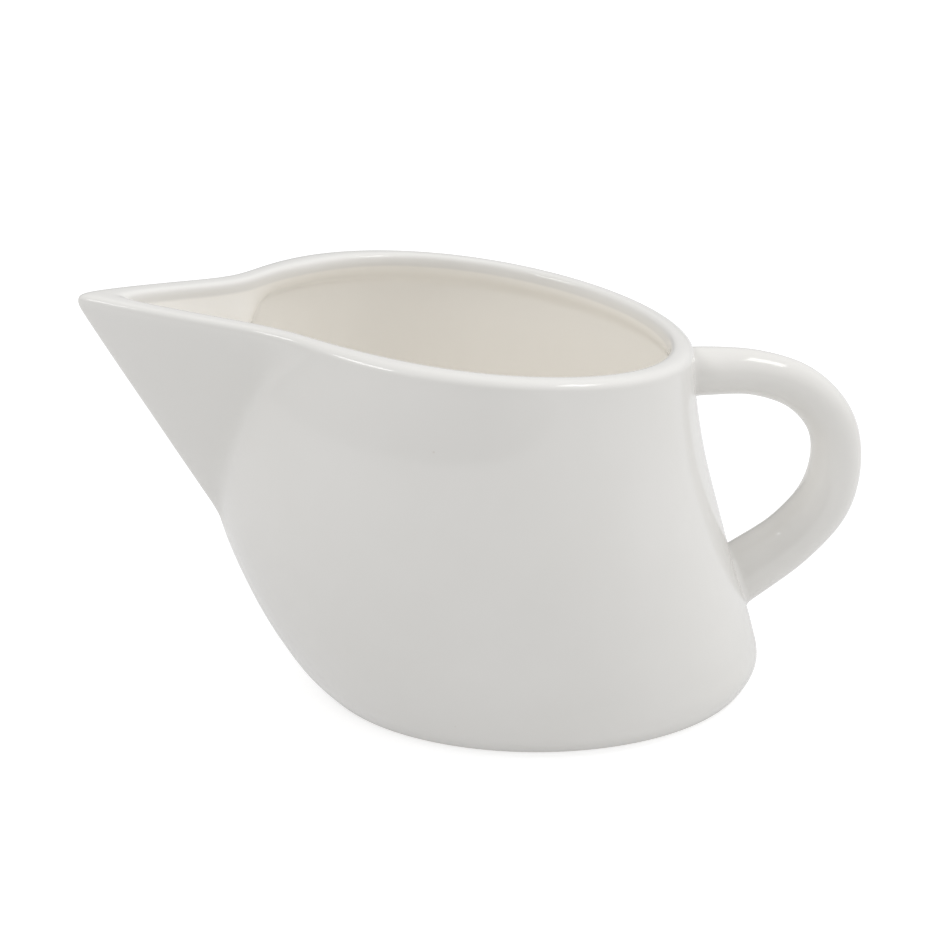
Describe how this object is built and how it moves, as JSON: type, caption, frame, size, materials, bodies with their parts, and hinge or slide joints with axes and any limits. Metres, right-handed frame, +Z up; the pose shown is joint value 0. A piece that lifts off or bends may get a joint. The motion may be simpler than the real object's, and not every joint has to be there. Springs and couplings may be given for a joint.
{
  "type": "cream jug",
  "caption": "Low round porcelain cream jug with a pointed spout, a rim that rises towards it and a one-finger loop handle.",
  "frame": {"origin": "on the table, under the middle of the jug's length and width", "axes": "+X from the spout towards the handle, +Z up, +Y to the left when facing along +X"},
  "size_m": [0.1441, 0.091, 0.0783],
  "materials": {
    "body_porcelain": "warm white porcelain under a clear glossy glaze, bare and matt on the ring it stands on",
    "handle_porcelain": "warm white porcelain under a clear glossy glaze",
    "joint_slip": "porcelain slip, smoothed and covered by the same clear glossy glaze"
  },
  "bodies": {
    "root": {"jug_body": "body_porcelain", "handle": "handle_porcelain", "upper_handle_joint": "joint_slip", "lower_handle_joint": "joint_slip"}
  },
  "joints": []
}
